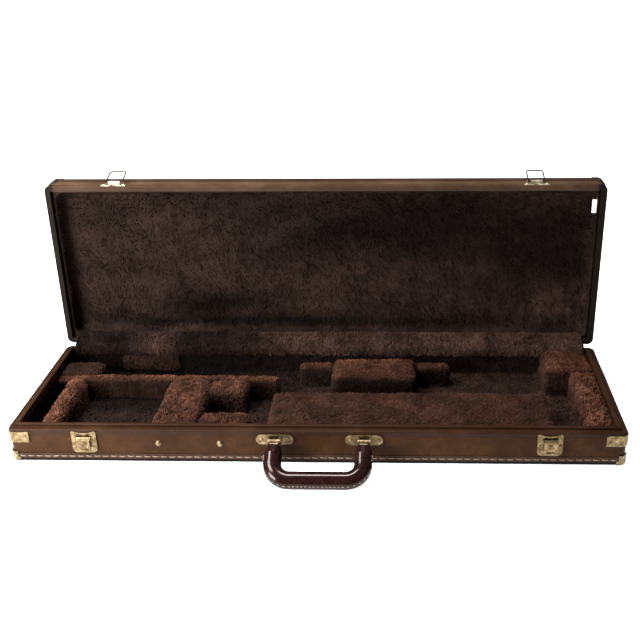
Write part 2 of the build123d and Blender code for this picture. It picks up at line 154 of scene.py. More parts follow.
def make_mesh(name, verts, faces, smooth=True):
    """An object from arrays; faces is a list of index arrays, one array per number of corners."""
    mesh = bpy.data.meshes.new(name)
    faces = [np.asarray(f, np.int32) for f in faces if len(f)]
    counts = np.concatenate([np.full(len(f), f.shape[1], np.int32) for f in faces])
    loops = np.concatenate([f.ravel() for f in faces])
    starts = np.concatenate([[0], np.cumsum(counts)[:-1]]).astype(np.int32)
    mesh.vertices.add(len(verts))
    mesh.vertices.foreach_set("co", np.asarray(verts, np.float32).ravel())
    mesh.loops.add(len(loops))
    mesh.loops.foreach_set("vertex_index", loops)
    mesh.polygons.add(len(counts))
    mesh.polygons.foreach_set("loop_start", starts)
    mesh.polygons.foreach_set("use_smooth", np.full(len(counts), smooth))
    mesh.update(calc_edges=True)
    mesh.validate()
    obj = bpy.data.objects.new(name, mesh)
    bpy.context.scene.collection.objects.link(obj)
    return obj


def point_attribute(obj, name, values):
    """Store one number for each point, for the material to read."""
    attribute = obj.data.attributes.new(name, "FLOAT", "POINT")
    attribute.data.foreach_set("value", np.asarray(values, np.float32))


def dress(obj, material):
    """Give an object its one material."""
    obj.data.materials.clear()
    obj.data.materials.append(material)
    return obj


# ---------------------------------------------------------------- shader helpers
class Shader:
    """A material's node tree with short calls for the nodes that the finishes share."""

    def __init__(self, name, roughness=0.5, metallic=0.0):
        self.material = bpy.data.materials.new(name)
        self.material.use_nodes = True
        self.tree = self.material.node_tree
        self.surface = self.tree.nodes["Principled BSDF"]
        self.surface.inputs["Roughness"].default_value = roughness
        self.surface.inputs["Metallic"].default_value = metallic
        self.coordinates = self.node("ShaderNodeTexCoord").outputs["Object"]

    def node(self, kind, **settings):
        """A new node with its settings."""
        node = self.tree.nodes.new(kind)
        for key, value in settings.items():
            setattr(node, key, value)
        return node

    def link(self, source, target):
        """Run one node's output into a socket."""
        self.tree.links.new(source, target)

    def feed(self, socket, value):
        """Set a socket to a number or a colour, or link another node's output to it."""
        if isinstance(value, (int, float)):
            socket.default_value = value
        elif isinstance(value, tuple):
            socket.default_value = (*value, 1)
        else:
            self.link(value, socket)

    def scaled(self, scale):
        """Object coordinates stretched by a scale for each axis."""
        mapping = self.node("ShaderNodeMapping")
        self.link(self.coordinates, mapping.inputs["Vector"])
        mapping.inputs["Scale"].default_value = scale
        return mapping.outputs["Vector"]

    def noise(self, scale, detail=3.0, roughness=0.55, vector=None, distortion=0.0):
        """Fractal noise, 0 to 1."""
        node = self.node("ShaderNodeTexNoise")
        self.link(vector or self.coordinates, node.inputs["Vector"])
        node.inputs["Scale"].default_value = scale
        node.inputs["Detail"].default_value = detail
        node.inputs["Roughness"].default_value = roughness
        node.inputs["Distortion"].default_value = distortion
        return node.outputs["Fac"]

    def cells(self, scale):
        """Distance from the middle of the nearest cell."""
        node = self.node("ShaderNodeTexVoronoi", feature="F1")
        self.link(self.coordinates, node.inputs["Vector"])
        node.inputs["Scale"].default_value = scale
        return node.outputs["Distance"]

    def ramp(self, value, *stops):
        """Colour or grey along a value: stops are (place, colour)."""
        node = self.node("ShaderNodeValToRGB")
        while len(node.color_ramp.elements) < len(stops):
            node.color_ramp.elements.new(0.5)
        for element, (place, colour) in zip(node.color_ramp.elements, stops):
            element.position = place
            element.color = (*colour, 1) if isinstance(colour, tuple) else (colour,) * 3 + (1,)
        self.link(value, node.inputs["Fac"])
        return node.outputs["Color"]

    def math(self, operation, a, b=None):
        """One sum on numbers or outputs."""
        node = self.node("ShaderNodeMath", operation=operation)
        for socket, value in zip(node.inputs, (a, b)):
            if value is not None:
                self.feed(socket, value)
        return node.outputs["Value"]

    def mix(self, factor, a, b, blend="MIX"):
        """Two colours mixed."""
        node = self.node("ShaderNodeMix", data_type="RGBA", blend_type=blend)
        for name, value in (("Factor", factor), ("A", a), ("B", b)):
            self.feed(next(s for s in node.inputs if s.name == name and s.enabled), value)
        return next(s for s in node.outputs if s.enabled)

    def bump(self, height, distance, strength, normal=None):
        """A normal roughened by a height."""
        node = self.node("ShaderNodeBump")
        node.inputs["Distance"].default_value = distance
        node.inputs["Strength"].default_value = strength
        self.link(height, node.inputs["Height"])
        if normal is not None:
            self.link(normal, node.inputs["Normal"])
        return node.outputs["Normal"]

    def soft_edges(self, radius):
        """A normal that rounds sharp edges off."""
        node = self.node("ShaderNodeBevel", samples=4)
        node.inputs["Radius"].default_value = radius
        return node.outputs["Normal"]

    def attribute(self, name):
        """A number stored on the mesh's points."""
        return self.node("ShaderNodeAttribute", attribute_name=name).outputs["Fac"]

    def set(self, **sockets):
        """Fill the surface's sockets, spaces in their names written as underscores."""
        for name, value in sockets.items():
            self.feed(self.surface.inputs[name.replace("_", " ")], value)
        return self.material


# ---------------------------------------------------------------- materials
# Noise scales are per metre: a scale of 900 has features about 1 mm across.
def vinyl_shader(name, dark, mid, light, roughness=0.42, grain=1.0):
    """Grained vinyl cloth: pebbled grain, faint mottling, rubbed lighter in soft patches."""
    s = Shader(name)
    patches = s.noise(14, 5, 0.75)
    fine = s.noise(260, 3, 0.6)
    colour = s.ramp(patches, (0.3, dark), (0.52, mid), (0.72, light))
    streaks = s.ramp(s.noise(150, 4, 0.75, vector=s.scaled((0.5, 0.5, 1.0))), (0.40, 0.0), (0.66, 0.5))
    colour = s.mix(streaks, colour, dark)
    colour = s.mix(s.math("MULTIPLY", fine, 0.35), colour, dark)
    pebble = s.cells(900)
    crease = s.noise(420, 4, 0.7)
    height = s.math("ADD", s.math("MULTIPLY", pebble, 0.7), s.math("MULTIPLY", crease, 0.6))
    normal = s.bump(height, 0.25 * MM * grain, 0.75)
    shine = s.ramp(s.noise(35, 4, 0.7), (0.3, roughness - 0.08), (0.7, roughness + 0.14))
    s.set(Base_Color=colour, Roughness=shine, Normal=normal, Specular_IOR_Level=0.045)
    return s


def vinyl(*finish):
    """The material alone, for a part that is vinyl all over."""
    return vinyl_shader(*finish).material


def lid_rim_vinyl():
    """The lid's rim vinyl: painted lighter along the top and bottom for the light they catch, and nearly black up
    the two ends with painted shade.
    """
    s = vinyl_shader(
        "lid_rim_vinyl", (0.020, 0.011, 0.006), (0.036, 0.021, 0.013), (0.058, 0.035, 0.022), 0.34, 0.6
    )
    along = s.node("ShaderNodeSeparateXYZ")
    s.link(s.node("ShaderNodeTexCoord").outputs["Generated"], along.inputs["Vector"])
    from_middle = s.math("ABSOLUTE", s.math("SUBTRACT", along.outputs["X"], 0.5))
    # Painted shade: the two ends nearly black.
    ends = s.ramp(from_middle, (0.480, 0.0), (0.486, 0.94))
    # The vinyl's colour, painted lighter for the light along the top and bottom.
    painted_lighter_vinyl = s.surface.inputs["Base Color"].links[0].from_socket
    return s.set(Base_Color=s.mix(ends, painted_lighter_vinyl, (0.004, 0.003, 0.002)), Specular_IOR_Level=0.02)


def plush(name, root, low, middle, tip, mottle, sheen):
    """Cut-pile cloth: painted shade dark at the roots, lighter at the tips, lit and shaded as the pile attribute
    paints it, brushed in patches, with a soft sheen.
    """
    s = Shader(name, roughness=0.9)
    # The pile attribute: the place along each tuft, with painted light on tops and painted shade on sides, roots
    # and lock edges.
    along = s.attribute("pile")
    brushed = s.noise(38, 3, 0.6)
    colour = s.ramp(along, (0.0, root), (0.22, low), (0.5, middle), (1.0, tip))
    shade = s.ramp(brushed, (0.3, 1.0 - mottle), (0.7, 1.0 + 0.25 * mottle))
    colour = s.mix(1.0, colour, shade, "MULTIPLY")
    fine = s.ramp(s.noise(900, 2, 0.7), (0.25, 0.72), (0.8, 1.15))
    colour = s.mix(1.0, colour, fine, "MULTIPLY")
    normal = s.bump(s.noise(1400, 2, 0.7), 0.4 * MM, 0.6)
    return s.set(
        Base_Color=colour, Normal=normal, Sheen_Weight=sheen, Sheen_Roughness=0.5, Specular_IOR_Level=0.01,
        Sheen_Tint=(0.75, 0.50, 0.38),
    )


def plated(name, tarnish, mid, bright, roughness=0.24):
    """Thin brass plating: bright on edges and rubbed places, duller and browner in patches."""
    s = Shader(name, metallic=1.0)
    patches = s.noise(160, 4, 0.65)
    colour = s.ramp(patches, (0.28, tarnish), (0.5, mid), (0.75, bright))
    scratches = s.noise(500, 3, 0.7, vector=s.scaled((1.0, 1.0, 0.12)))
    rough = s.ramp(s.noise(300, 4, 0.7), (0.3, roughness - 0.06), (0.75, roughness + 0.2))
    normal = s.bump(scratches, 0.04 * MM, 0.5, s.soft_edges(0.35 * MM))
    return s.set(Base_Color=colour, Roughness=rough, Normal=normal)


def lacquered(name, dark, light, roughness=0.38, metallic=0.6):
    """Plain metal under lacquer, darker in patches."""
    s = Shader(name, metallic=metallic)
    colour = s.ramp(s.noise(120, 4, 0.7), (0.35, dark), (0.8, light))
    rough = s.ramp(s.noise(400, 3, 0.7), (0.3, roughness - 0.08), (0.7, roughness + 0.12))
    normal = s.bump(s.noise(800, 2, 0.6), 0.05 * MM, 0.4, s.soft_edges(0.4 * MM))
    return s.set(Base_Color=colour, Roughness=rough, Normal=normal)


def handle_leather(name):
    """Polished leather: tight creases and a waxed shine, darker in the creases."""
    s = Shader(name)
    creases = s.noise(170, 5, 0.7, distortion=0.6)
    fine = s.cells(1500)
    tone = s.ramp(s.noise(45, 3, 0.6), (0.3, (0.004, 0.0015, 0.0015)), (0.7, (0.013, 0.0045, 0.004)))
    colour = s.mix(s.ramp(creases, (0.35, 0.7), (0.55, 0.0)), tone, (0.003, 0.0015, 0.001))
    height = s.math("ADD", creases, s.math("MULTIPLY", fine, 0.2))
    rough = s.ramp(creases, (0.3, 0.22), (0.6, 0.10))
    return s.set(
        Base_Color=colour, Roughness=rough, Normal=s.bump(height, 0.08 * MM, 0.5), Specular_IOR_Level=0.13,
        Specular_Tint=(1.0, 0.80, 0.74), Coat_Weight=0.05, Coat_Roughness=0.06,
    )


def thread(name):
    """Soiled cream thread with a fine twist."""
    s = Shader(name, roughness=0.8)
    colour = s.ramp(s.noise(700, 3, 0.6), (0.3, (0.052, 0.031, 0.020)), (0.75, (0.15, 0.100, 0.072)))
    twist = s.noise(2500, 2, 0.6)
    return s.set(Base_Color=colour, Normal=s.bump(twist, 0.12 * MM, 0.7), Sheen_Weight=0.2)


def woven_label(name):
    """A plain white woven label."""
    s = Shader(name, roughness=0.85)
    colour = s.ramp(s.noise(600, 2), (0.3, (0.62, 0.60, 0.56)), (0.7, (0.86, 0.85, 0.82)))
    weave = s.node("ShaderNodeTexWave", wave_type="BANDS", bands_direction="Z")
    s.link(s.coordinates, weave.inputs["Vector"])
    weave.inputs["Scale"].default_value = 700
    return s.set(Base_Color=colour, Normal=s.bump(weave.outputs["Fac"], 0.08 * MM, 0.8))


MATERIALS = {
    "vinyl_board": vinyl(
        "vinyl_board", (0.012, 0.0046, 0.0011), (0.027, 0.0104, 0.0027), (0.046, 0.0182, 0.0052)
    ),
    "rim_vinyl": vinyl(
        "rim_vinyl", (0.011, 0.0044, 0.002), (0.019, 0.0078, 0.0035), (0.034, 0.0145, 0.007), 0.36, 0.6
    ),
    "binding_strip": vinyl(
        "binding_strip", (0.018, 0.0085, 0.005), (0.034, 0.0165, 0.009), (0.052, 0.026, 0.015), 0.4, 0.5
    ),
    "piping": vinyl(
        "piping", (0.002, 0.0015, 0.0015), (0.004, 0.003, 0.003), (0.008, 0.006, 0.005), 0.34, 0.4
    ),
    "block_plush": plush(
        "block_plush", (0.003, 0.0022, 0.0018), (0.021, 0.0108, 0.0075), (0.048, 0.0186, 0.0110),
        (0.130, 0.052, 0.030), 0.35, 0.05,
    ),
    "lining_plush": plush(
        "lining_plush", (0.0032, 0.0026, 0.0021), (0.0130, 0.0078, 0.0061), (0.027, 0.0148, 0.0112),
        (0.084, 0.046, 0.035), 0.45, 0.01,
    ),
    "brass": plated("brass", (0.045, 0.029, 0.012), (0.105, 0.072, 0.038), (0.25, 0.185, 0.105), 0.38),
    "aged_brass": plated("aged_brass", (0.05, 0.04, 0.02), (0.13, 0.10, 0.055), (0.32, 0.25, 0.14), 0.3),
    "dark_metal": lacquered("dark_metal", (0.010, 0.008, 0.007), (0.06, 0.045, 0.035)),
    "handle_leather": handle_leather("handle_leather"),
    "steel": lacquered("steel", (0.35, 0.34, 0.33), (0.55, 0.54, 0.52), 0.3, 1.0),
    "tag_card": woven_label("tag_card"),
}
THREAD = thread("thread")


SLOT_VARIANTS = (               # nodes with their own colours: painted light and shade on the lid's rim and board, a painted highlight on the brackets, darker bails
    (("lid_rim",), lid_rim_vinyl(), "rim_vinyl"),
    (
        # Painted light: the lid's board lighter than the base's.
        ("lid_front_board",),
        vinyl("lid_board_painted_light", (0.028, 0.015, 0.008), (0.054, 0.031, 0.017), (0.085, 0.050, 0.029)),
        "vinyl_board",
    ),
    (
        ("bail_left", "bail_right"),
        plated("bail_brass", (0.010, 0.008, 0.004), (0.022, 0.018, 0.009), (0.050, 0.040, 0.022), 0.45),
        "aged_brass",
    ),
    (
        # Painted highlight: the brackets and rivets near-white cream.
        ("bail_brackets", "bail_rivets"),
        plated("bracket_brass_painted_highlight", (0.18, 0.145, 0.09), (0.34, 0.285, 0.195), (0.62, 0.54, 0.40), 0.38),
        "aged_brass",
    ),
)


def dress_cad_nodes():
    """Every CAD node in its slot's material, then the ones with their own colours, painted light and shade among
    them.
    """
    slots = {row["node"]: row["material_slot"] for row in frame["record"]["subparts"]}
    for name, node in frame["nodes"].items():
        dress(node, MATERIALS[slots[name]])
    for names, material, slot in SLOT_VARIANTS:
        for name in names:
            dress(frame["nodes"][name], material)


dress_cad_nodes()


# ---------------------------------------------------------------- plush: forms
def grid_faces(rows, columns, offset=0, flip=False):
    """Quads of a grid of points laid out row by row."""
    index = np.arange(rows * columns).reshape(rows, columns) + offset
    quads = np.stack([index[:-1, :-1], index[:-1, 1:], index[1:, 1:], index[1:, :-1]], axis=-1)
    quads = quads.reshape(-1, 4)
    return quads[:, ::-1] if flip else quads


def box_surface(lo, hi, cell):
    """A box as welded quads about cell across, facing outwards."""
    lo, hi = np.asarray(lo, float), np.asarray(hi, float)
    steps = np.maximum(np.round((hi - lo) / cell).astype(int), 2)
    verts, faces = [], []
    for axis in range(3):
        u, v = (axis + 1) % 3, (axis + 2) % 3
        for side in (0, 1):
            a = np.linspace(lo[u], hi[u], steps[u] + 1)
            b = np.linspace(lo[v], hi[v], steps[v] + 1)
            grid = np.zeros((len(a), len(b), 3))
            grid[..., u], grid[..., v] = a[:, None], b[None, :]
            grid[..., axis] = hi[axis] if side else lo[axis]
            offset = sum(len(block) for block in verts)
            faces.append(grid_faces(len(a), len(b), offset, flip=bool(side)))
            verts.append(grid.reshape(-1, 3))
    return weld(np.concatenate(verts), np.concatenate(faces))


def weld(verts, faces):
    """Join points that lie in the same place."""
    keys = np.round(verts / WELD_DISTANCE).astype(np.int64)
    _, first, inverse = np.unique(keys, axis=0, return_index=True, return_inverse=True)
    return verts[first], inverse.ravel()[faces]


def rounded(verts, lo, hi, radius, square):
    """Pull a box's points onto the box with rounded edges. The edges of one side, given as square, an axis
    and +1 or -1, stay sharp."""
    inner_lo, inner_hi = np.asarray(lo, float) + radius, np.asarray(hi, float) - radius
    axis, sign = square
    if sign > 0:
        inner_hi[axis] = hi[axis]
    else:
        inner_lo[axis] = lo[axis]
    core = np.clip(verts, inner_lo, inner_hi)
    away = verts - core
    return core + unit(away) * np.minimum(np.linalg.norm(away, axis=1, keepdims=True), radius)


def face_normals(verts, faces):
    """Each quad's normal, twice as long as its area."""
    a, b, c, d = (verts[faces[:, k]] for k in range(4))
    return np.cross(c - a, d - b)


def point_normals(verts, faces):
    """The mean normal of the quads round each point."""
    normals = np.zeros_like(verts)
    across = face_normals(verts, faces)
    for k in range(4):
        np.add.at(normals, faces[:, k], across)
    return unit(normals)


def scatter(verts, faces, spacing, rng):
    """Random places on quads, one per spacing squared, with the surface's normal at each."""
    areas = np.linalg.norm(face_normals(verts, faces), axis=1) / 2
    count = int(areas.sum() / spacing**2)
    picked = rng.choice(len(faces), count, p=areas / areas.sum())
    u, v = rng.random((2, count, 1))
    a, b, c, d = (verts[faces[picked, k]] for k in range(4))
    places = a * (1 - u) * (1 - v) + b * u * (1 - v) + c * u * v + d * (1 - u) * v
    normals = point_normals(verts, faces)
    na, nb, nc, nd = (normals[faces[picked, k]] for k in range(4))
    return places, unit(na * (1 - u) * (1 - v) + nb * u * (1 - v) + nc * u * v + nd * (1 - u) * v)


def nearest(points, centres):
    """Which centre is nearest to each point."""
    tree = KDTree(len(centres))
    for i, c in enumerate(centres):
        tree.insert(c, i)
    tree.balance()
    return np.array([tree.find(p)[1] for p in points])


TUFT_POINTS = 7              # a ring of three at the root, three in the middle, and the tip
TUFT_SUNK = 0.3 * MM         # the root's depth under the form
TUFT_SHORTEST, TUFT_VARIES = 0.65, 0.7              # in the nap's lengths
LOCK_HEIGHT = 1.1            # where a lock's tips meet over the form, in the nap's lengths
BEND_PLACE, BEND_RISE = 0.55, 0.18                  # the middle ring's place, and its rise in lengths
MIDDLE_RADIUS = 0.36         # in the nap's widths
FLOW_SIZE, WAVE_SIZE = 26 * MM, 6 * MM
LOCK_SHADE_RANGE = (0.25, 1.3)      # how dark the painted shade at a lock's edges and how light its middle may be
SHADE_RANGE = (0.05, 1.6)


def tufts(places, normals, nap, rng, seed):
    """Bent, tapered tufts of pile, drawn together in locks: points, triangles and place along each, with painted
    shade at the roots and at the locks' edges.
    """
    count = len(places)
    flow = vector_noise(places, FLOW_SIZE, seed) * nap["lean"] + np.array(nap["lay"])
    waves = vector_noise(places, WAVE_SIZE, seed + 7) * nap["curl"]
    way = unit(normals + flow + waves)
    long = nap["length"] * (TUFT_SHORTEST + TUFT_VARIES * rng.random((count, 1)))
    tips = places + way * long
    centres = places[rng.choice(count, max(count // nap["lock"], 1), replace=False)]
    own = nearest(places, centres)
    gather = centres[own] + unit(normals + flow) * nap["length"] * LOCK_HEIGHT
    tips = tips + nap["draw"] * (gather - tips) * rng.random((count, 1))
    middles = places + BEND_PLACE * (tips - places) + normals * (BEND_RISE * nap["length"])
    side = unit(np.cross(way, rng.normal(size=(count, 3))))
    other = unit(np.cross(way, side))
    roots = places - normals * TUFT_SUNK
    rings = []
    for centre, radius in ((roots, nap["width"] / 2), (middles, nap["width"] * MIDDLE_RADIUS)):
        for turn in np.arange(3) * 2 * math.pi / 3:
            rings.append(centre + (side * math.cos(turn) + other * math.sin(turn)) * radius)
    points = np.stack(rings + [tips], axis=1).reshape(-1, 3)
    local = []
    for k in range(3):
        n = (k + 1) % 3
        local += [(k, n, 3 + n), (k, 3 + n, 3 + k), (3 + k, 3 + n, 6)]
    faces = (np.arange(count)[:, None, None] * TUFT_POINTS + np.array(local)[None]).reshape(-1, 3)
    away = np.linalg.norm(places - centres[own], axis=1)
    # Painted shade: a lock's edges darker and its middle lighter; each lock's own tone varies at random.
    painted_lock_shade = np.clip(1 - nap["spread"] * (away / np.median(away) - 1), *LOCK_SHADE_RANGE)
    tone = painted_lock_shade * (1 + nap["spread"] * (rng.random(len(centres)) - 0.5))[own]
    # Painted shade at the roots, lightest at the tips.
    root, middle, tip = nap["ground"], 0.5 + 0.5 * nap["ground"], 1.0
    along = np.tile([root] * 3 + [middle] * 3 + [tip], count) * np.repeat(tone, TUFT_POINTS)
    return points, faces, along


# ---------------------------------------------------------------- plush: pieces
RIM_ROOM = 0.6 * MM          # between pile and rim
TUFT_LIMIT_X = RIM_HI[0] - RIM_INSET - RIM_ROOM
TUFT_LIMIT_Y = RIM_HI[1] - RIM_INSET - RIM_ROOM
RIM_UNDER = RIM_LO[2] - 1 * MM
LID_TUFT_LIMIT = HINGE.y + RIM_HI[2] - HINGE.z + RIM_ROOM


def inside_rim(points):
    """Pile beside the rim stays clear of it."""
    high = points[:, 2] > RIM_UNDER
    points[high, 0] = np.clip(points[high, 0], -TUFT_LIMIT_X, TUFT_LIMIT_X)
    points[high, 1] = np.clip(points[high, 1], -TUFT_LIMIT_Y, TUFT_LIMIT_Y)
    return points


def clear_of_base(points):
    """Pile at the lid's mouth stays clear of the base's rim when the lid is shut."""
    points[:, 1] = np.maximum(points[:, 1], LID_TUFT_LIMIT)
    return points


def with_pile(name, verts, faces, places, normals, nap, rng, seed, shade, limit=None):
    """One object: the covered form and its pile. shade gives how light the nap is at each point, its painted light
    and shade included.
    """
    points, triangles, along = tufts(places, normals, nap, rng, seed)
    points = limit(points) if limit else points
    everything = np.concatenate([verts, points])
    obj = make_mesh(name, everything, [faces, triangles + len(verts)])
    # The form gets the ground's painted shade; the tufts get their place along times the painted light and shade.
    form_shade = nap["ground"] * np.clip(shade(verts, point_normals(verts, faces)), *SHADE_RANGE)
    lightness = along * np.repeat(np.clip(shade(places, normals), *SHADE_RANGE), TUFT_POINTS)
    point_attribute(obj, "pile", np.concatenate([form_shade, lightness]))
    return obj


def nap_tone_and_painted_light(top, side, mottle, size, seed):
    """Lightness of the nap: painted light on the tops and painted shade on the sides, in soft patches of tone."""
    def shade(places, normals):
        # Painted light on faces turned up, painted shade on the sides.
        facing = rise(normals[:, 2], 0.12, 0.8)
        return (side + (top - side) * facing) * (1 + mottle * fractal(places, size, seed + 57, 2))
    return shade


# A nap: the tufts' length and width, how far their flow leans and waves, how many share a lock, how far it
# draws them together and how much its tone and the painted shade at its edges vary, how light the painted shade
# leaves the ground and the roots, and the way they are laid.
UPRIGHT = (0, 0, -0.06)
COMBED_DOWN = (0, 0, -1.0)
WOOLLY = dict(
    length=4.4 * MM, width=1.6 * MM, lean=0.6, curl=0.8, lock=14, draw=0.32, spread=0.26, ground=0.36,
    lay=UPRIGHT,
)
BRUSHED = dict(
    length=3.2 * MM, width=1.5 * MM, lean=0.8, curl=0.5, lock=12, draw=0.25, spread=0.22, ground=0.45,
    lay=UPRIGHT,
)
SHORT = dict(
    length=3.6 * MM, width=1.8 * MM, lean=0.8, curl=0.6, lock=12, draw=0.25, spread=0.25, ground=0.6,
    lay=UPRIGHT,
)
LAID = dict(
    length=3.6 * MM, width=1.9 * MM, lean=1.2, curl=0.6, lock=12, draw=0.2, spread=0.16, ground=0.95,
    lay=COMBED_DOWN,
)

BLOCK_LOOKS = {              # each block's nap, and the painted light on its top and the painted shade on its sides
    "corner_block_left": (BRUSHED, 0.42, 0.26), "divider_block": (BRUSHED, 0.90, 0.33),
    "end_block_left": (WOOLLY, 1.10, 0.80), "cradle_block": (WOOLLY, 0.74, 0.44),
    "cradle_rear_arm": (WOOLLY, 0.78, 0.34), "cradle_front_arm": (WOOLLY, 0.75, 0.45),
    "long_block": (BRUSHED, 0.49, 0.36), "rear_bar_left": (BRUSHED, 0.85, 0.26),
    "rear_centre_block": (BRUSHED, 0.80, 0.16), "rear_bar_right": (BRUSHED, 0.90, 0.20),
    "corner_block_right": (BRUSHED, 0.95, 0.42), "end_block_right": (WOOLLY, 1.0, 0.5),
}
FORM_SIDE_GAP = 1.2 * MM     # a block's form inside its CAD box, which leaves room for the pile
FORM_TOP_GAP = 2.0 * MM
BLOCK_CELL = 3.2 * MM
BLOCK_RADIUS = 7 * MM
NARROW_PART = 0.46           # the most of a block's width that one rounded edge takes
BLOCK_CROWN = 2.0 * MM
FLAT_FOOT = 0.02             # the part of a block's height that isn't lumpy
BARE_UNDERSIDE = 0.5 * MM    # faces lower than this over the block's foot have no pile
BLOCK_SPACING, LONG_BLOCK_SPACING = 1.75 * MM, 2.05 * MM
BLOCK_LUMPS, BLOCK_LUMP_HEIGHT = 21 * MM, 1.8 * MM
BLOCK_PATCHES = 34 * MM      # size of the patches that the nap is brushed in
NAP_MOTTLE = 0.5             # how much those patches differ
PAD_SPACING, PAD_RADIUS, PAD_CROWN = 1.9 * MM, 2.4 * MM, 0.0
LINING_CELL = 6.5 * MM
LINING_FOOT = 8 * MM         # how far from a lining's mouth its lumps reach their full height


def lumpy(verts, faces, size, height, seed):
    """Push a form in and out along its normals, as padding under cloth does."""
    return verts + point_normals(verts, faces) * (fractal(verts, size, seed)[:, None] * height)


def soft_block(node, nap, spacing, radius, crown, seed, top, side):
    """A plush-covered block: crowned top, soft edges, a slightly uneven form and its pile."""
    rng = np.random.default_rng(seed)
    lo, hi = low_high(node)
    lo = lo + np.array([FORM_SIDE_GAP, FORM_SIDE_GAP, 0])
    hi = hi - np.array([FORM_SIDE_GAP, FORM_SIDE_GAP, FORM_TOP_GAP])
    verts, faces = box_surface(lo, hi, BLOCK_CELL)
    radius = min(radius, NARROW_PART * min(hi[0] - lo[0], hi[1] - lo[1]))
    verts = rounded(verts, lo, hi, radius, (2, -1))
    middle, half = (lo + hi) / 2, (hi - lo) / 2
    across = 1 - np.clip(np.abs((verts - middle) / half), 0, 1)[:, :2] ** 4
    up = rise(verts[:, 2], lo[2], hi[2] - lo[2])
    verts[:, 2] += crown * across[:, 0] * across[:, 1] * up
    pushed = lumpy(verts, faces, BLOCK_LUMPS, BLOCK_LUMP_HEIGHT, seed)
    verts = inside_rim(np.where((up > FLAT_FOOT)[:, None], pushed, verts))
    open_faces = faces[verts[faces][:, :, 2].mean(axis=1) > lo[2] + BARE_UNDERSIDE]
    places, normals = scatter(verts, open_faces, spacing, rng)
    shade = nap_tone_and_painted_light(top, side, NAP_MOTTLE, BLOCK_PATCHES, seed)
    obj = with_pile(node + "_plush", verts, faces, places, normals, nap, rng, seed, shade, inside_rim)
    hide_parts(node)
    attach(obj, "base")
    return dress(obj, MATERIALS["block_plush"])


def make_blocks():
    """The blocks that divide the case, and the rough pad on the rear wall."""
    for seed, (node, (nap, top, side)) in enumerate(BLOCK_LOOKS.items(), 11):
        spacing = LONG_BLOCK_SPACING if node == "long_block" else BLOCK_SPACING
        soft_block(node, nap, spacing, BLOCK_RADIUS, BLOCK_CROWN, seed, top, side)
    soft_block("rear_wall_pad", WOOLLY, PAD_SPACING, PAD_RADIUS, PAD_CROWN, 31, 0.42, 0.38)


def lined_tray(lo, hi, radius, cell, opening):
    """The inside of a lined tray: four walls and a floor with soft inner corners, open on one side, and
    the flat backing behind them, joined round the mouth. opening is (axis, +1 or -1)."""
    axis, sign = opening
    verts, faces = box_surface(lo, hi, cell)
    mouth = (hi if sign > 0 else lo)[axis]
    keep = np.abs(verts[faces][:, :, axis].mean(axis=1) - mouth) > MOUTH_TOLERANCE
    faces = faces[keep][:, ::-1]
    soft = rounded(verts, lo, hi, radius, opening)
    used = np.unique(faces)
    renumber = np.full(len(verts), -1)
    renumber[used] = np.arange(len(used))
    return soft[used], renumber[faces], verts[used]


def closed_faces(faces, count):
    """A sheet's faces, the same faces on its back, count points on, and a strip round its edge."""
    edges = {(int(face[k]), int(face[(k + 1) % 4])) for face in faces for k in range(4)}
    rim = sorted((a, b) for a, b in edges if (b, a) not in edges)
    strip = np.array([(b, a, a + count, b + count) for a, b in rim])
    return np.concatenate([faces, faces[:, ::-1] + count, strip])


def closed_lining(inner, faces, square, lo, hi, depth, opening):
    """Close a tray lining with its backing, depth behind the square tray."""
    middle = (np.asarray(lo) + np.asarray(hi)) / 2
    half = (np.asarray(hi) - np.asarray(lo)) / 2
    axis, sign = opening
    grow = np.full(3, depth)
    backing = middle + (square - middle) / half * (half + grow)
    flat = square[:, axis] * sign > (middle + half * sign)[axis] * sign - MOUTH_TOLERANCE
    backing[flat, axis] = square[flat, axis]
    return np.concatenate([inner, backing]), closed_faces(faces, len(inner))


def covered(points, inset):
    """Which points lie inside a block's box, and at least inset from its faces."""
    hidden = np.zeros(len(points), bool)
    for node in BLOCK_LOOKS:
        lo, hi = low_high(node)
        hidden |= np.all((points > lo + inset) & (points < hi - inset), axis=1)
    return hidden


def make_base_lining():
    """Plush over the tray's floor and walls, under the rim."""
    rng = np.random.default_rng(5)
    wall, corner, backing, spacing, patches = WALL_LINING + FORM_GAP, 7 * MM, 3.6 * MM, 3.3 * MM, 40 * MM
    lo = np.array([WALL_LO[0] + wall, WALL_LO[1] + wall, FLOOR_TOP - 1 * MM])
    hi = np.array([WALL_HI[0] - wall, WALL_HI[1] - wall, WALL_HI[2]])
    opening = (2, 1)
    inner, faces, square = lined_tray(lo, hi, corner, LINING_CELL, opening)
    low = rise(-inner[:, 2], -hi[2], LINING_FOOT)[:, None]
    inner = inner + point_normals(inner, faces) * fractal(inner, 22 * MM, 5)[:, None] * 1.2 * MM * low
    verts, all_faces = closed_lining(inner, faces, square, lo, hi, backing, opening)
    places, normals = scatter(inner, faces, spacing, rng)
    shown = ~covered(places, 1.5 * MM)
    places, normals = places[shown], normals[shown]
    # Painted light on the floor, painted shade on the walls.
    nap = nap_tone_and_painted_light(0.36, 0.16, NAP_MOTTLE, patches, 5)

    def shade(points, ways):
        """Painted shade darkest deep in the left bay, lighter to the right, with painted light along the left
        bay's front.
        """
        along = rise(points[:, 0], -0.20, 0.25)
        front = rise(-points[:, 1], -0.005, 0.02) * (1 - along) * (ways[:, 2] > 0.5)
        return nap(points, ways) * (0.08 + 1.85 * along + 0.8 * front)

    obj = with_pile("base_lining_plush", verts, all_faces, places, normals, SHORT, rng, 5, shade, inside_rim)
    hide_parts("base_floor_lining", "base_wall_lining")
    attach(obj, "base")
    dress(obj, MATERIALS["lining_plush"])


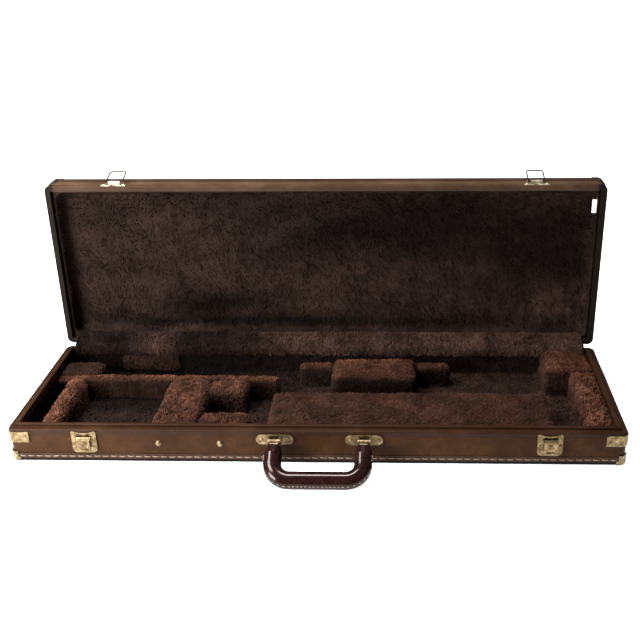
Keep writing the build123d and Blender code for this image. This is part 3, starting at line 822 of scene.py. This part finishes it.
LID_FOLDS = (                # place from the lining's low left corner, run along the cloth, width, height
    ((0.100, 0.040), (0.050, -0.022), 7 * MM, 8 * MM),
    ((0.060, 0.030), (0.030, 0.030), 6 * MM, 3 * MM),
    ((0.150, 0.018), (0.060, 0.004), 6 * MM, 3.5 * MM),
    ((0.560, 0.020), (0.090, 0.006), 7 * MM, 2.5 * MM),
)


def rumple(points, corner):
    """The soft folds in the lid's lining, as a height at each point."""
    out = np.zeros(len(points))
    for place, run, width, height in LID_FOLDS:
        away = points[:, [0, 2]] - (np.array(corner) + np.array(place))
        run = np.array(run)
        length = np.linalg.norm(run)
        along = away @ run / length
        across = away @ np.array([-run[1], run[0]]) / length
        out += height * np.exp(-((along / length) ** 2) - (across / width) ** 2)
    return out


TAG_ROOM = 7 * MM            # bare cloth round the tag
LID_STROKES_AND_SHADOWS = (              # where the lid's nap is brushed lighter or darker, with painted shadows under a fold at the lower left and along the bottom edge: x, z, half sizes, change
    (-0.33, 0.20, 0.20, 0.16, 0.03), (0.22, 0.25, 0.24, 0.055, -0.42), (0.36, 0.19, 0.06, 0.05, -0.38),
    (0.06, 0.25, 0.14, 0.035, -0.20), (-0.18, 0.118, 0.07, 0.014, -0.60), (-0.12, 0.086, 0.22, 0.010, -0.55),
    (0.37, 0.115, 0.045, 0.035, 0.75), (0.08, 0.15, 0.24, 0.045, 0.26), (0.30, 0.24, 0.03, 0.03, 0.25),
)


def stroked_and_shadowed(points):
    """Broad brush marks in the nap of the lid's lining, with painted shadows under a fold and along the bottom
    edge.
    """
    out = np.zeros(len(points))
    for x, z, wide, tall, change in LID_STROKES_AND_SHADOWS:
        out += change * np.exp(-(((points[:, 0] - x) / wide) ** 2) - ((points[:, 2] - z) / tall) ** 2)
    return out


def make_lid_lining():
    """Dark crushed plush over the lid's panel and walls in one piece, rounded into the corners."""
    rng = np.random.default_rng(6)
    wall, corner, backing, spacing = WALL_LINING + FORM_GAP, 13 * MM, 3.4 * MM, 3.9 * MM
    lo = np.array([LID_WALL_LO[0] + wall, LID_WALL_LO[1] + 0.3 * MM, LID_WALL_LO[2] + wall])
    hi = np.array([LID_WALL_HI[0] - wall, LID_LINING_FACE + 0.8 * MM, LID_WALL_HI[2] - wall])
    opening = (1, -1)
    inner, faces, square = lined_tray(lo, hi, corner, LINING_CELL, opening)
    deep = rise(inner[:, 1], lo[1], LINING_FOOT)
    push = fractal(inner, 30 * MM, 6) * 1.5 * MM
    push = (push + rumple(inner, (lo[0], lo[2]))) * deep
    inner = inner + point_normals(inner, faces) * push[:, None]
    verts, all_faces = closed_lining(inner, faces, square, lo, hi, backing, opening)
    places, normals = scatter(inner, faces, spacing, rng)
    tag_lo, tag_hi = low_high("blank_tag")
    bare = np.all((places > tag_lo - TAG_ROOM) & (places < tag_hi + TAG_ROOM), axis=1)
    places, normals = places[~bare], normals[~bare]

    def shade(points, _):
        """Broad strokes with painted shadows, and soft patches, with upright combing that is stronger to the
        right.
        """
        out = 0.27 + 0.54 * stroked_and_shadowed(points) + 0.15 * fractal(points, (60 * MM, 30 * MM, 26 * MM), 64)
        combed = fractal(points, (7 * MM, 30 * MM, 40 * MM), 66)
        return out * (1 + 0.6 * combed * np.clip(0.5 + points[:, 0] / 0.4, 0.25, 1))

    obj = with_pile(
        "lid_lining_plush", verts, all_faces, places, normals, LAID, rng, 6, shade, clear_of_base
    )
    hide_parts("lid_panel_lining", "lid_wall_lining")
    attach(obj, "lid")
    dress(obj, MATERIALS["lining_plush"])


ROLL_END_GAP = 19 * MM       # from the base rim's end to the strip's end
ROLL_CLOTH = 1.6 * MM
ROLL_LUMPS = (55 * MM, 16 * MM, 16 * MM)
ROLL_SPACING = 2.3 * MM


def make_hinge_roll():
    """The padded plush strip that rises from the back wall, laps over the rear rim and runs into the lid."""
    rng = np.random.default_rng(7)
    half_length = RIM_HI[0] - ROLL_END_GAP
    wall, rim, lid, lid_wall = TUFT_LIMIT_Y, RIM_HI[2], LID_WALL_LO[1], LID_WALL_LO[2]
    knots = np.array([
        (wall - 0.5 * MM, rim - 12.6 * MM),
        (wall - 2.2 * MM, rim - 3 * MM),
        (wall + 1.0 * MM, rim + 3.5 * MM),
        (wall + 9 * MM, rim + 6.0 * MM),
        (lid - 3 * MM, lid_wall + 1.5 * MM),
        (lid + 3 * MM, lid_wall + 8 * MM),
    ])
    columns, rows = 240, 16
    steps = np.concatenate([[0], np.cumsum(np.linalg.norm(np.diff(knots, axis=0), axis=1))])
    at = np.linspace(0, steps[-1], rows)
    profile = np.stack([np.interp(at, steps, knots[:, k]) for k in range(2)], axis=1)
    profile[1:-1] = (profile[:-2] + 2 * profile[1:-1] + profile[2:]) / 4
    slope = np.gradient(profile, axis=0)
    lift = unit(np.stack([-slope[:, 1], slope[:, 0]], axis=1))
    x = np.linspace(-half_length, half_length, columns)
    front = np.zeros((columns, rows, 3))
    front[..., 0] = x[:, None]
    front[..., 1:] = profile[None]
    flat = front.reshape(-1, 3)
    bulge = 1.2 * MM + fractal(flat, ROLL_LUMPS, 7) * 2.0 * MM
    swell = np.sin(math.pi * np.linspace(0, 1, rows)) ** 0.7
    front[..., 1:] += lift[None] * (bulge.reshape(columns, rows) * swell[None])[..., None]
    back = front.copy()
    back[..., 1:] -= lift[None] * ROLL_CLOTH
    front, back = front.reshape(-1, 3), back.reshape(-1, 3)
    faces = grid_faces(columns, rows)
    if face_normals(front, faces)[:, 1:].mean(axis=0) @ lift.mean(axis=0) < 0:
        faces = faces[:, ::-1]
    verts, all_faces = np.concatenate([front, back]), closed_faces(faces, len(front))
    places, normals = scatter(front, faces, ROLL_SPACING, rng)

    def shade(points, _):
        """Dark at the left but for one lump, then lighter and lighter to the right."""
        lighter = rise(points[:, 0], -0.18, 0.10)
        far = rise(points[:, 0], 0.05, 0.12)
        lump = np.exp(-(((points[:, 0] + 0.29) / 0.04) ** 2))
        return (0.22 + 0.74 * lighter + 0.28 * far + 0.55 * lump) * (1 + 0.5 * fractal(points, 45 * MM, 71))

    obj = with_pile("hinge_roll_plush", verts, all_faces, places, normals, SHORT, rng, 7, shade)
    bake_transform(obj)
    obj.data.materials.append(MATERIALS["lining_plush"])


# ---------------------------------------------------------------- stitches
STITCH_RINGS, STITCH_SIDES = 7, 6
BAND_CORNER = 10 * MM        # corners left without stitches
BAND_PITCH = 12.2 * MM
BAND_STITCH = (10.2 * MM, 1.0 * MM, 0.4 * MM)       # length, radius, depth below the cloth
HANDLE_DROP = math.radians(29.2)                    # below level at rest
HANDLE_SPREAD = 128 * MM     # between the middles of the grip's legs
HANDLE_REACH = 60 * MM       # from the pins to the middle of the grip's bar
HANDLE_BEND = 25 * MM
GRIP_START = 22 * MM         # from the pins to the grip's ends
GRIP_WIDE, GRIP_THICK = 13 * MM, 11 * MM            # half sizes of the grip's oval
GRIP_SEAM = math.radians(25)                        # round the oval, upwards from its outer edge
GRIP_PITCH = 5.6 * MM
GRIP_STITCH = (3.6 * MM, 0.75 * MM, 0.25 * MM)
GRIP_LEG = HANDLE_REACH - HANDLE_BEND - GRIP_START
GRIP_BAR = 2 * (HANDLE_SPREAD / 2 - HANDLE_BEND)
GRIP_TURN = HANDLE_BEND * math.pi / 2


def stitch_row(name, places, ways, ups, stitch, body):
    """A row of short sewn stitches: each is a thread that rises from the cloth and goes back in."""
    length, radius, sink = stitch
    rings, sides = STITCH_RINGS, STITCH_SIDES
    along = np.linspace(-1, 1, rings)
    arch = np.sqrt(np.clip(1 - along**2, 0, 1))
    wide = radius * (0.45 + 0.55 * arch)
    angles = np.arange(sides) * 2 * math.pi / sides
    verts, walls, ends = [], [], []
    for number, (place, way, up) in enumerate(zip(places, ways, ups)):
        over = np.cross(up, way)
        offset = number * rings * sides
        for k in range(rings):
            centre = place + way * along[k] * length / 2 + up * (arch[k] * (radius * 1.3) - sink)
            for angle in angles:
                verts.append(centre + wide[k] * (over * math.cos(angle) + up * math.sin(angle)))
        for k in range(rings - 1):
            for m in range(sides):
                n = (m + 1) % sides
                row, after = offset + k * sides, offset + (k + 1) * sides
                walls.append((row + m, row + n, after + n, after + m))
        ends.append([offset + m for m in range(sides)][::-1])
        ends.append([offset + (rings - 1) * sides + m for m in range(sides)])
    obj = make_mesh(name, np.array(verts), [np.array(walls), np.array(ends)])
    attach(obj, body)
    obj.data.materials.append(THREAD)
    return obj


def outline_places(half_x, half_y, corner, pitch):
    """Evenly spaced places along a rectangle's four sides, short of its corners, with the way along."""
    straight_x, straight_y = half_x - corner, half_y - corner
    sections = (
        ((-straight_x, -half_y), (1, 0), 2 * straight_x), ((half_x, -straight_y), (0, 1), 2 * straight_y),
        ((straight_x, half_y), (-1, 0), 2 * straight_x), ((-half_x, straight_y), (0, -1), 2 * straight_y),
    )
    out = []
    for start, way, run in sections:
        count = int(run / pitch)
        margin = (run - (count - 1) * pitch) / 2
        for k in range(count):
            at = np.array(start) + np.array(way) * (margin + k * pitch)
            out.append((at, np.array(way, float)))
    return out


def band_stitches():
    """The row of cream stitches along the base's binding band."""
    rng = np.random.default_rng(3)
    lo, hi = low_high("base_binding")
    middle, half = (lo + hi) / 2, (hi - lo) / 2
    places, ways, ups = [], [], []
    for at, way in outline_places(half[0], half[1], BAND_CORNER, BAND_PITCH):
        places.append(np.array([middle[0] + at[0], middle[1] + at[1], middle[2] + rng.normal() * 0.12 * MM]))
        ways.append(unit(np.array([way[0], way[1], rng.normal() * 0.04])))
        ups.append(np.array([way[1], -way[0], 0.0]))
    stitch_row("band_stitches", places, ways, ups, BAND_STITCH, "base")


def along_grip(s):
    """The place s along the grip's middle line, as across and out from the pins, and the way to its
    outer side."""
    half, reach, bend = HANDLE_SPREAD / 2, HANDLE_REACH, HANDLE_BEND
    if s < GRIP_LEG:
        return (-half, GRIP_START + s), (-1.0, 0.0)
    if s < GRIP_LEG + GRIP_TURN:
        a = (s - GRIP_LEG) / bend
        out = (-math.cos(a), math.sin(a))
        return (-half + bend + bend * out[0], reach - bend + bend * out[1]), out
    if s < GRIP_LEG + GRIP_TURN + GRIP_BAR:
        return (-half + bend + s - GRIP_LEG - GRIP_TURN, reach), (0.0, 1.0)
    if s < GRIP_LEG + 2 * GRIP_TURN + GRIP_BAR:
        a = (s - GRIP_LEG - GRIP_TURN - GRIP_BAR) / bend
        out = (math.sin(a), math.cos(a))
        return (half - bend + bend * out[0], reach - bend + bend * out[1]), out
    return (half, GRIP_START + 2 * GRIP_LEG + 2 * GRIP_TURN + GRIP_BAR - s), (1.0, 0.0)


def handle_stitches():
    """Stitches along the grip's outer seam, from leg to leg."""
    pivot = np.array(JOINTS["handle_swing"]["pos_m"])
    outwards = np.array([0, -math.cos(HANDLE_DROP), -math.sin(HANDLE_DROP)])
    above = np.array([0, -math.sin(HANDLE_DROP), math.cos(HANDLE_DROP)])
    sideways = np.array([1.0, 0, 0])
    far, high = math.cos(GRIP_SEAM), math.sin(GRIP_SEAM)
    total = 2 * GRIP_LEG + 2 * GRIP_TURN + GRIP_BAR
    count = int(total / GRIP_PITCH)
    places, ways, ups = [], [], []
    for k in range(count):
        at, out = along_grip((k + 0.5) * total / count)
        outer = sideways * out[0] + outwards * out[1]
        centre = pivot + sideways * at[0] + outwards * at[1]
        places.append(centre + outer * GRIP_WIDE * far + above * GRIP_THICK * high)
        ups.append(unit(outer * far / GRIP_WIDE + above * high / GRIP_THICK))
        ways.append(unit(sideways * out[1] - outwards * out[0]))
    stitch_row("handle_stitches", places, ways, ups, GRIP_STITCH, "handle")


make_blocks()
make_base_lining()
make_lid_lining()
make_hinge_roll()
band_stitches()
handle_stitches()


# ---------------------------------------------------------------- light and floor
WORLD_LIGHT = 0.14
FLOOR_GLOW = 0.9
FLOOR_HALF = 9
FLOOR_GAP = 0.4 * MM         # below the case, so that the two don't share a plane
WHITE = (1.0, 1.0, 1.0)
LIGHTS = (                   # name, place, aim, size, watts
    ("key", (-0.75, -0.25, 1.15), (-0.1, 0.0, 0.05), (0.5, 0.5), 38),
    ("back", (-0.20, 0.45, 1.9), (-0.05, 0.0, 0.05), (0.8, 0.4), 60),
    ("front", (-0.85, -0.68, 0.40), (-0.45, -0.1, 0.05), (0.45, 0.45), 31),
)


def make_floor():
    """A plain pale floor that glows a little, so that it stays white round the case."""
    h = FLOOR_HALF
    corners = [(-h, -h, 0), (h, -h, 0), (h, h, 0), (-h, h, 0)]
    floor = make_mesh("floor", corners, [[(0, 1, 2, 3)]], False)
    floor.location.z = -FLOOR_GAP
    s = Shader("floor", roughness=0.9)
    paper = s.ramp(s.noise(2.0), (0.3, 0.88), (0.7, 0.90))
    s.set(Base_Color=paper, Emission_Color=WHITE, Emission_Strength=FLOOR_GLOW)
    floor.data.materials.append(s.material)


def make_world():
    """Faint even light from everywhere."""
    world = bpy.data.worlds.new("studio")
    world.use_nodes = True
    background = world.node_tree.nodes["Background"]
    background.inputs["Color"].default_value = (*WHITE, 1)
    background.inputs["Strength"].default_value = WORLD_LIGHT
    bpy.context.scene.world = world


def make_lights():
    """The soft studio lights, all from the left and above."""
    for name, place, aim, size, watts in LIGHTS:
        data = bpy.data.lights.new(name, "AREA")
        data.shape, data.size, data.size_y = "RECTANGLE", size[0], size[1]
        data.energy, data.color = watts, WHITE
        light = bpy.data.objects.new(name, data)
        light.location = place
        light.rotation_euler = (Vector(aim) - Vector(place)).to_track_quat("-Z", "Y").to_euler()
        bpy.context.scene.collection.objects.link(light)


def plain_colours():
    """Show the colours as they are, with no film look."""
    view = bpy.context.scene.view_settings
    view.view_transform = "Standard"
    view.look = "None"
    view.exposure = 0.0


make_floor()
make_world()
make_lights()
plain_colours()
